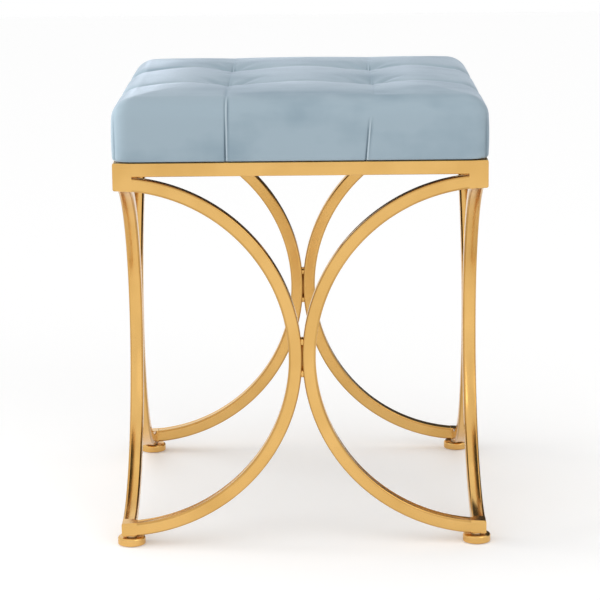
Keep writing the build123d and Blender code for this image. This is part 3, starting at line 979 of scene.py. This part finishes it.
@dataclass
class TuftedCushion:
    """The seat cushion: a rounded block of velvet, pulled down at its tufts and pleated between them."""

    low: Vector
    high: Vector
    pleat: SidePleat = SidePleat()
    shading: TopShade = TopShade()

    # The block and its grid
    edge_radius: float = 0.0282
    edge_drop: float = 0.004
    edge_steps: int = 10
    side_height: float = 0.044
    corner_power: float = 3.0
    step: float = 0.0040
    step_slack: float = 0.2
    fold_lines: tuple[float, ...] = (0.0, 0.0005, 0.0011, 0.0018, 0.0027, 0.0045, 0.008)
    wall_rows: int = 10
    wall_bulge: float = 0.0006
    lower_edge: tuple[tuple[float, float], ...] = ((0.0022, 0.0001), (0.0007, 0.0005), (0.0, 0.0016))
    hem_insets: tuple[float, ...] = (0.010, 0.020, 0.030)

    # The tufts and the creases between them
    left_column: float = -0.0785
    right_column: float = 0.0795
    row: float = 0.073
    channel_depth: float = 0.0024
    tuft_depth: float = 0.0135
    swell_power: float = 2.4
    arch_fade: float = 0.88
    arch_power: float = 1.5
    side_dip: float = 0.005
    dip_power: float = 12.0
    crease_depth: float = 0.0014
    crease_width: float = 0.0017
    crease_reach: float = 0.020
    crease_least: float = 0.25
    crease_fade: float = 0.9
    funnel_width: float = 0.011
    pucker: float = 0.0011
    pucker_count: int = 7
    pucker_wander: float = 2.5
    pucker_seed: tuple[float, float] = (31, 17)
    pucker_place: float = 0.016
    pucker_width: float = 0.013
    drag_depth: float = 0.0012
    drag_width: float = 0.0042
    drag_reach: float = 0.022
    drag_wander: float = 0.004
    drag_scale: float = 30.0
    drag_seed: float = 50.0
    drag_side: float = 3.0

    # The folds of the sides
    pleat_lean: float = 0.0038
    pleat_shift: float = 0.0050
    pleat_reach: float = 0.035
    short_end: float = 0.45
    short_fade: float = 0.2
    side_share: float = 0.8
    side_gain: float = 1.6
    side_notch: float = 0.0105
    notch_width: float = 0.013
    corner_fold: float = 0.0013
    corner_place: float = 0.0035
    corner_width: float = 0.0011
    corner_top: float = 0.75
    corner_fade: float = 3.0
    corner_tone: float = 0.6
    corner_slant: float = 0.7
    under_share: float = 0.01
    under_inset: float = 0.004

    # The cloth
    frames: int = 18
    pressure: float = 0.15
    slack: float = -0.0008
    most_move: float = 0.002
    on_line: float = 0.0004
    held_hem: float = 0.012
    held_top: float = 0.004
    held_side: float = 0.55
    quality: int = 6
    mass: float = 0.25
    tension: float = 22.0
    shear: float = 9.0
    bending: float = 0.35

    def half(self) -> float:
        """Half the cushion's width."""
        return (self.high.x - self.low.x) / 2

    def inner(self) -> float:
        """How far the top runs from the middle before it rounds over."""
        return self.half() - self.edge_radius

    def side_top(self) -> float:
        """The height where the sides begin to round over."""
        return self.low.z + self.side_height

    def columns(self) -> tuple[float, float]:
        """Where the folds that run from front to rear lie."""
        return self.left_column, self.right_column

    def rows(self) -> tuple[float, float]:
        """Where the folds that run across lie."""
        return -self.row, self.row

    def tufts(self) -> list[tuple[float, float]]:
        """Where the tufts lie."""
        return [(column, row) for column in self.columns() for row in self.rows()]

    def places(self, folds: Sequence[float]) -> list[float]:
        """Grid lines across the cushion, in order, close together round the edges and beside the folds."""
        half = self.half()
        turns = [QUARTER * step / self.edge_steps for step in range(self.edge_steps + 1)]
        edge = [self.edge_radius * (1 - math.cos(math.radians(turn))) for turn in turns]
        marks = {-half + inset for inset in edge} | {half - inset for inset in edge}
        for fold in folds:
            for offset in self.fold_lines:
                marks |= {fold - offset, fold + offset}
        ordered = sorted(marks)
        filled = [ordered[0]]
        for mark in ordered[1:]:
            last = filled[-1]
            parts = max(1, math.ceil((mark - last) / self.step - self.step_slack))
            filled += [last + (mark - last) * part / parts for part in range(1, parts)]
            filled.append(mark)
        return filled

    def rounded(self, x: float, y: float) -> tuple[float, float, float]:
        """Carry a point of a flat square to the rounded block's top.

        Args:
            x: The point's place across.
            y: The point's place from front to rear.

        Returns:
            The point's new places, and its height as a share of the rounding's.
        """
        over_x = max(0.0, abs(x) - self.inner())
        over_y = max(0.0, abs(y) - self.inner())
        most = max(over_x, over_y)
        if most == 0:
            return x, y, 1.0
        norm = (over_x**self.corner_power + over_y**self.corner_power) ** (1 / self.corner_power)
        shrink = most / norm
        new_x = x - math.copysign(over_x * (1 - shrink), x)
        new_y = y - math.copysign(over_y * (1 - shrink), y)
        return new_x, new_y, math.sqrt(max(0.0, 1 - (most / self.edge_radius) ** 2))

    def cell_share(self, place: float, folds: Sequence[float]) -> tuple[float, float]:
        """How near a place is to a fold, and how far out it is towards the cushion's edge.

        Args:
            place: The place across the cushion.
            folds: The two folds' places.

        Returns:
            A share that is 1 on a fold and 0 in a cell's middle, and one that is 1 where the edge begins.
        """
        first, second = folds
        if first <= place <= second:
            return abs(place - (first + second) / 2) / ((second - first) / 2), 0.0
        outside = first - place if place < first else place - second
        reach = (self.inner() - (abs(first) if place < first else abs(second))) / 2
        return max(0.0, 1 - outside / reach), max(0.0, outside / reach - 1)

    def sink(self, x: float, y: float) -> float:
        """How far the tufting and the folds pull a point of the top down, in metres.

        Args:
            x: The point's place across.
            y: The point's place from front to rear.

        Returns:
            The depth.
        """
        across, out_x = self.cell_share(x, self.columns())
        along, out_y = self.cell_share(y, self.rows())
        swell = along**self.swell_power
        arch = across**2
        deep = self.tuft_depth - self.channel_depth
        arch *= 1 - self.arch_fade * out_y**self.arch_power
        depth = self.channel_depth * swell + (self.channel_depth * (1 - swell) + deep * swell) * arch
        depth += self.edge_drop * max(out_x, out_y) ** 2
        depth += self.side_dip * out_x * along**self.dip_power
        nearest = min(math.hypot(x - column, y - row) for column, row in self.tufts())
        off_tuft = 1 - hump(nearest, self.funnel_width)
        near_x = min(abs(x - column) for column in self.columns())
        near_y = min(abs(y - row) for row in self.rows())
        fade = self.crease_least + (1 - self.crease_least) * hump(near_y, self.crease_reach)
        runs_over = y < 0 and x < 0
        if runs_over:
            fade = max(fade, min(1.0, out_y))
        else:
            fade = fade * (1 - self.crease_fade * min(1.0, out_y))
        depth += self.drag_depth * self.drag(x, y)
        depth += self.crease_depth * off_tuft * fade * hump(near_x, self.crease_width)
        depth += self.crease_depth * off_tuft * hump(near_y, self.crease_width)
        seed_x, seed_y = self.pucker_seed
        for column, row in self.tufts():
            reach = math.hypot(x - column, y - row)
            turn = math.atan2(y - row, x - column)
            wander = noise.noise((column * seed_x, row * seed_y, turn)) * self.pucker_wander
            ripple = math.cos(turn * self.pucker_count + wander)
            depth += self.pucker * ripple * hump(reach - self.pucker_place, self.pucker_width)
        return depth

    def drag(self, x: float, y: float) -> float:
        """How strongly the slanting folds that run out of the tufts show, from 0 to 1.

        Args:
            x: The point's place across.
            y: The point's place from front to rear.

        Returns:
            The share.
        """
        total = 0.0
        slant = math.sqrt(0.5)
        for column, row in self.tufts():
            beside = abs(x - column)
            inward = (row - y) * math.copysign(1, row)
            if inward > 0:
                along = (beside + inward) * slant
                seed = row * self.drag_seed + math.copysign(self.drag_side, x - column)
                place = (along * self.drag_scale, column * self.drag_seed, seed)
                off = (beside - inward) * slant + self.drag_wander * noise.noise(place)
                far = (along - self.drag_reach) / self.drag_reach
                total += math.exp(-((off / self.drag_width) ** 2) - far**2)
        return min(1.0, total)

    def build(self, material: Material) -> Piece:
        """Make the cushion's mesh, relax it as cloth and return it."""
        columns = self.places(self.columns())
        rows = self.places(self.rows())
        shell = bmesh.new()
        grid = [[shell.verts.new(self.top_point(x, y)) for x in columns] for y in rows]
        for j in range(len(rows) - 1):
            for i in range(len(columns) - 1):
                shell.faces.new((grid[j][i], grid[j][i + 1], grid[j + 1][i + 1], grid[j + 1][i]))
        self.add_walls(shell, self.rim_of(grid))
        bmesh.ops.recalc_face_normals(shell, faces=shell.faces)
        piece = new_piece("cushion", [], [], material)
        shell.to_mesh(piece.data)
        shell.free()
        piece.data.polygons.foreach_set("use_smooth", [True] * len(piece.data.polygons))
        self.relax(piece)
        self.press_folds(piece)
        finer = piece.modifiers.new("finer", "SUBSURF")
        finer.levels = 1
        finer.render_levels = 1
        apply_modifiers(piece)
        turn_outward(piece, fill=True)
        return piece

    def top_point(self, x: float, y: float) -> Point:
        """The point of the tufted top on a grid line across and one from front to rear."""
        new_x, new_y, rise = self.rounded(x, y)
        inner = self.inner()
        if y < -inner:
            new_x -= self.pleat_shift * hump(x - self.right_column, self.pleat_reach) * (1 - rise)
        depth = self.sink(max(-inner, min(inner, x)), max(-inner, min(inner, y)))
        return new_x, new_y, self.side_top() + (self.edge_radius - depth) * rise

    @staticmethod
    def rim_of(grid: list[list[bmesh.types.BMVert]]) -> list[bmesh.types.BMVert]:
        """The outermost points of a grid's rows, in order round it."""
        front = grid[0]
        right = [row[-1] for row in grid[1:]]
        rear = list(reversed(grid[-1][:-1]))
        left = [row[0] for row in reversed(grid[1:-1])]
        return [*front, *right, *rear, *left]

    def add_walls(self, shell: bmesh.types.BMesh, rim: list[bmesh.types.BMVert]) -> None:
        """Add the sides and the turned hem below the top's rim.

        Args:
            shell: The mesh to add to.
            rim: The top's outermost points, in order.
        """
        shares = [row / (self.wall_rows + 1) for row in range(1, self.wall_rows + 1)]
        walls = [(self.side_height * (1 - share), 0.0) for share in shares]
        hem = [(0.0, inset) for inset in self.hem_insets]
        ring = rim
        base = [vert.co.copy() for vert in rim]
        for level, inset in [*walls, *self.lower_edge, *hem]:
            bulge = self.wall_bulge * math.sin(math.pi * level / self.side_height)
            scale = (self.half() - inset + bulge) / self.half()
            fresh = []
            for point in base:
                lean = self.lean(point, level)
                fresh.append(shell.verts.new((point.x * scale + lean, point.y * scale, self.low.z + level)))
            for i, vert in enumerate(ring):
                j = (i + 1) % len(ring)
                shell.faces.new((vert, fresh[i], fresh[j], ring[j]))
            ring = fresh

    def lean(self, point: Vector, level: float) -> float:
        """How far the front right pleat leans inwards, with the cloth beside it.

        Args:
            point: The rim's point above.
            level: The height above the cushion's underside.

        Returns:
            The sideways shift, in metres.
        """
        if point.y > -self.half() + self.edge_radius:
            return 0.0
        beside = hump(point.x + self.pleat_shift - self.right_column, self.pleat_reach)
        return -self.pleat_lean * beside * (1 - level / self.side_height)

    def press_folds(self, piece: Piece) -> None:
        """Press the upright pleats, the side notches and the corner folds into the cushion's sides."""
        shades = []
        for vert in piece.data.vertices:
            shift, shade = self.fold_depth(vert.co)
            shades.append(shade + self.top_shade(vert.co))
            vert.co -= shift
        # Keep the folds' painted shade and painted lip highlights on the mesh for the velvet.
        piece.data.attributes.new(FOLD_SHADE, "FLOAT", "POINT").data.foreach_set("value", shades)
        piece.data.update()

    def top_shade(self, point: Vector) -> float:
        """How much painted shade a fold of the top gives the velvet at a point: 1 is deep in a fold."""
        shading = self.shading
        if point.z < self.side_top() + shading.starts * self.edge_radius:
            return 0.0
        column = min((point.x - column for column in self.columns()), key=abs)
        row = min((point.y - row for row in self.rows()), key=abs)
        shade = shading.at(column, row) + shading.drag_share * self.drag(point.x, point.y)
        edge = max(0.0, 1 - max(abs(point.x), abs(point.y)) / self.half()) ** shading.edge_power
        return shade * min(1.0, shading.edge_gain * edge)

    def fold_depth(self, point: Vector) -> tuple[Vector, float]:
        """How far the folds of the sides draw a point in.

        Args:
            point: The point.

        Returns:
            The inward shift, as a vector to take away, and the painted shade that the folds give the velvet.
        """
        half = self.half()
        height = (point.z - self.low.z) / (self.high.z - self.low.z)
        shift = Vector((0, 0, 0))
        shade = 0.0
        if height < self.under_share and max(abs(point.x), abs(point.y)) < half - self.under_inset:
            return shift, shade
        side_x = max(0.0, 1 - (half - abs(point.x)) / (self.side_share * self.edge_radius))
        side_y = max(0.0, 1 - (half - abs(point.y)) / (self.side_share * self.edge_radius))
        if side_y > 0:
            drop = 1 - min(point.z - self.low.z, self.side_height) / self.side_height
            leaning = self.pleat_shift + self.pleat_lean * drop
            for column in self.columns():
                short = point.y < 0 and column > 0
                line = column - leaning if short else column
                fade = max(0.0, 1 - max(0.0, height - self.short_end) / self.short_fade) if short else 1.0
                fade *= min(1, self.side_gain * side_y)
                depth, tone = self.pleat.at(point.x - line, height)
                shade += tone * fade
                shift.y += math.copysign(depth * fade, point.y)
        if side_x > 0:
            for row in self.rows():
                notch = self.side_notch * hump(point.y - row, self.notch_width) * height
                depth, tone = self.pleat.at(point.y - row, height)
                fade = min(1, self.side_gain * side_x)
                shade += tone * fade
                shift.x += math.copysign((depth + notch) * fade, point.x)
        over_x = abs(point.x) - self.inner()
        over_y = abs(point.y) - self.inner()
        if over_x > 0 and over_y > 0 and height < self.corner_top:
            near = hump(abs(point.x) - half + self.corner_place, self.corner_width)
            fold = self.corner_fold * near * (1 - (height / self.corner_top) ** self.corner_fade)
            shade += self.corner_tone * fold / self.corner_fold
            slant = Vector((math.copysign(fold, point.x), math.copysign(fold, point.y), 0))
            shift += slant * self.corner_slant
        return shift, shade

    def hold(self, piece: Piece) -> str:
        """Mark where the cover is held, at folds, tufts and lower edge, and return the mark's name."""
        held = piece.vertex_groups.new(name="held")
        for vert in piece.data.vertices:
            x, y, z = vert.co
            low = z < self.low.z + self.held_hem
            on_top = z > self.side_top() - self.held_top
            near_x = min(abs(x - column) for column in self.columns())
            near_y = min(abs(y - row) for row in self.rows())
            if low or (on_top and min(near_x, near_y) < self.on_line):
                held.add([vert.index], 1.0, "REPLACE")
            elif not on_top:
                held.add([vert.index], self.held_side, "REPLACE")
        return held.name

    def relax(self, piece: Piece) -> None:
        """Let the cover swell and wrinkle as cloth, where it isn't held."""
        before = np.array([v.co for v in piece.data.vertices])
        held = self.hold(piece)
        cloth = piece.modifiers.new("cloth", "CLOTH")
        settings = cloth.settings
        settings.quality = self.quality
        settings.mass = self.mass
        settings.tension_stiffness = self.tension
        settings.compression_stiffness = self.tension
        settings.shear_stiffness = self.shear
        settings.bending_stiffness = self.bending
        settings.vertex_group_mass = held
        settings.pin_stiffness = 1.0
        settings.use_pressure = True
        settings.uniform_pressure_force = self.pressure
        settings.shrink_min = self.slack
        settings.effector_weights.gravity = 0.0
        scene = bpy.context.scene
        cloth.point_cache.frame_start = 1
        cloth.point_cache.frame_end = self.frames
        for frame in range(1, self.frames + 1):
            scene.frame_set(frame)
        depsgraph = bpy.context.evaluated_depsgraph_get()
        moved = bpy.data.meshes.new_from_object(piece.evaluated_get(depsgraph))
        after = np.array([v.co for v in moved.vertices])
        bpy.data.meshes.remove(moved)
        piece.modifiers.clear()
        scene.frame_set(1)
        move = after - before
        length = np.linalg.norm(move, axis=1, keepdims=True)
        settled = before + move * np.minimum(1.0, self.most_move / np.maximum(length, TINY))
        piece.data.vertices.foreach_set("co", settled.ravel())
        piece.data.update()
        LOG.info("cushion moved %.1f mm at most, %.2f mm on average", length.max() / MM, length.mean() / MM)


@dataclass(frozen=True)
class Lamp:
    """A soft square lamp, with its side in metres, its power in watts and its spread in degrees."""

    name: str
    place: Point
    target: Point
    size: float
    power: float
    spread: float = 180.0
    in_reflections: bool = True

    def build(self) -> None:
        """Put the lamp in its place, pointed at its target."""
        data = bpy.data.lights.new(self.name, "AREA")
        data.spread = math.radians(self.spread)
        data.shape = "SQUARE"
        data.size = self.size
        data.energy = self.power
        lamp = bpy.data.objects.new(self.name, data)
        lamp.location = self.place
        aim = Vector(self.target) - Vector(self.place)
        lamp.rotation_euler = aim.to_track_quat("-Z", "Y").to_euler()
        lamp.visible_glossy = self.in_reflections
        bpy.context.scene.collection.objects.link(lamp)


@dataclass
class Studio:
    """The plain floor, the soft lights and the camera of the reference view."""

    camera_place: Point = (0.0126, -2.7153, 0.8166)
    pitch: float = 12.148
    roll: float = 0.60
    yaw: float = -0.327
    lens: float = 143.7
    sensor: float = 36.0
    bright_side: Point = (-0.8, -0.5, 0.25)
    bright_level: float = 1.25
    dim_level: float = 0.40
    floor_reach: float = 6.0
    floor_colour: Colour = (0.92, 0.92, 0.92)
    floor_glow: float = 0.14
    card_near: tuple[float, float] = (0.1, 3.6)
    card_far: tuple[float, float] = (4.0, 0.8)
    card_height: float = 3.4
    card_finish: PlainFinish = PlainFinish(
        "dark_card", (0.02, 0.02, 0.02), (0.03, 0.03, 0.03), roughness=0.9
    )
    lamps: tuple[Lamp, ...] = (
        Lamp("key", (1.8, -2.0, 1.7), (0.0, 0.0, 0.4), size=1.4, power=8.0),
        Lamp("fill", (-1.2, -2.4, 1.2), (0.0, 0.0, 0.3), size=1.5, power=1.0),
        Lamp(
            "side", (-1.7, 0.05, 0.40), (-0.2, -0.15, 0.45), size=0.4, power=2.0, spread=60.0,
            in_reflections=False,
        ),
        Lamp("top", (-0.3, 0.4, 2.4), (0.0, 0.0, 0.4), size=1.6, power=1.0),
    )

    def build(self) -> None:
        """Make the floor, the world, the card, the lamps and the camera."""
        self.floor()
        self.world()
        self.dark_card()
        for lamp in self.lamps:
            lamp.build()
        self.camera()

    def floor(self) -> None:
        """A wide pale floor that looks white to the camera and keeps the soft shadow."""
        material = bpy.data.materials.new("pale_floor")
        material.use_nodes = True
        tree = Nodes(material.node_tree)
        tree.tree.nodes.clear()
        diffuse = tree.add("ShaderNodeBsdfDiffuse", {"Color": (*self.floor_colour, 1)})
        glow = tree.add("ShaderNodeEmission", {"Strength": tree.times(tree.seen_ray(), self.floor_glow)})
        both = tree.add("ShaderNodeAddShader", {0: diffuse.outputs["BSDF"], 1: glow.outputs["Emission"]})
        tree.add("ShaderNodeOutputMaterial", {"Surface": both.outputs["Shader"]})
        reach = self.floor_reach
        corners = [(-reach, -reach, 0), (reach, -reach, 0), (reach, reach, 0), (-reach, reach, 0)]
        new_piece("floor", corners, [(0, 1, 2, 3)], material)

    def world(self) -> None:
        """A white surround for the camera and for reflections, and a dimmer one that lights the object."""
        world = bpy.data.worlds.new("surround")
        bpy.context.scene.world = world
        world.use_nodes = True
        tree = Nodes(world.node_tree)
        direction = tree.add("ShaderNodeTexCoord").outputs["Generated"]
        bright = Vector(self.bright_side).normalized()
        facing = tree.add("ShaderNodeVectorMath", {0: direction, 1: bright}, operation="DOT_PRODUCT")
        level = tree.add("ShaderNodeMapRange", {
            "Value": facing.outputs["Value"], "From Min": -1.0, "From Max": 1.0,
            "To Min": self.dim_level, "To Max": self.bright_level,
        }, interpolation_type="SMOOTHSTEP")
        seen = tree.add("ShaderNodeMapRange", {
            "Value": tree.seen_ray(), "To Min": level.outputs["Result"], "To Max": 1.0,
        })
        background = world.node_tree.nodes["Background"]
        tree.feed(background.inputs["Color"], (1, 1, 1, 1))
        tree.feed(background.inputs["Strength"], seen.outputs["Result"])

    def dark_card(self) -> None:
        """A dark card far behind to the right, which only reflections see, as beside a real set."""
        corners = [
            (*self.card_near, 0), (*self.card_far, 0),
            (*self.card_far, self.card_height), (*self.card_near, self.card_height),
        ]
        card = new_piece("dark_card", corners, [(0, 1, 2, 3)], self.card_finish.build())
        card.visible_camera = False
        card.visible_diffuse = False
        card.visible_shadow = False

    def camera(self) -> None:
        """Add the camera at the reference view's place and angle."""
        data = bpy.data.cameras.new("camera")
        data.sensor_fit = "HORIZONTAL"
        data.sensor_width = self.sensor
        data.lens = self.lens
        camera = bpy.data.objects.new("camera", data)
        upright = Euler((math.radians(QUARTER - self.pitch), 0, math.radians(-self.yaw)), "XYZ").to_matrix()
        twist = Matrix.Rotation(math.radians(-self.roll), 3, "Z")
        camera.matrix_world = Matrix.Translation(self.camera_place) @ (upright @ twist).to_4x4()
        bpy.context.scene.collection.objects.link(camera)
        bpy.context.scene.camera = camera


def main() -> None:
    """Load the frame, dress every piece and set the stage."""
    logging.basicConfig(level=logging.INFO, format="%(name)s: %(message)s")
    bpy.ops.wm.read_factory_settings(use_empty=True)
    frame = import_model()
    nodes = frame["nodes"]
    bpy.context.scene.view_settings.view_transform = "Standard"
    finishes = Finishes.build()

    gold = [*RAILS, *LEGS, "corner_welds", "tack_welds", "leg_end_plugs", "foot_blocks"]
    gold += [f"{corner}_{piece}" for corner in CORNERS for piece in ("gusset", "foot_disc")]
    paint(nodes, gold, finishes.gold)
    steel = ["seat_bolts", "seat_washers", "tee_nuts", "dust_cover_staples"]
    steel += [f"{corner}_foot_stem" for corner in CORNERS]
    paint(nodes, steel, finishes.steel)
    paint(nodes, [f"{corner}_foot_pad" for corner in CORNERS], finishes.pad)
    paint(nodes, ["seat_board"], finishes.plywood)
    paint(nodes, ["tuft_ties"], finishes.twine)
    paint(nodes, ["tie_washers"], finishes.washer)
    paint(nodes, ["dust_cover"], finishes.dust)
    paint(nodes, ["tuft_buttons"], finishes.velvet)

    cushion = TuftedCushion(*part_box("seat_cover")).build(finishes.velvet)
    mount(cushion, Slot.VELVET, "seat_cover", "seat_wadding", "seat_foam")
    LOG.info("cushion: %d faces", len(cushion.data.polygons))
    mount(TuftButtons().build(finishes.velvet), Slot.VELVET, "tuft_buttons")
    GoldFrame().dress(finishes.gold)

    low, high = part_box("dust_cover")
    dust = DustCover(low, high).build(finishes.dust)
    mount(dust, Slot.DUST, "dust_cover")

    Studio().build()


if __name__ == "__main__":
    main()
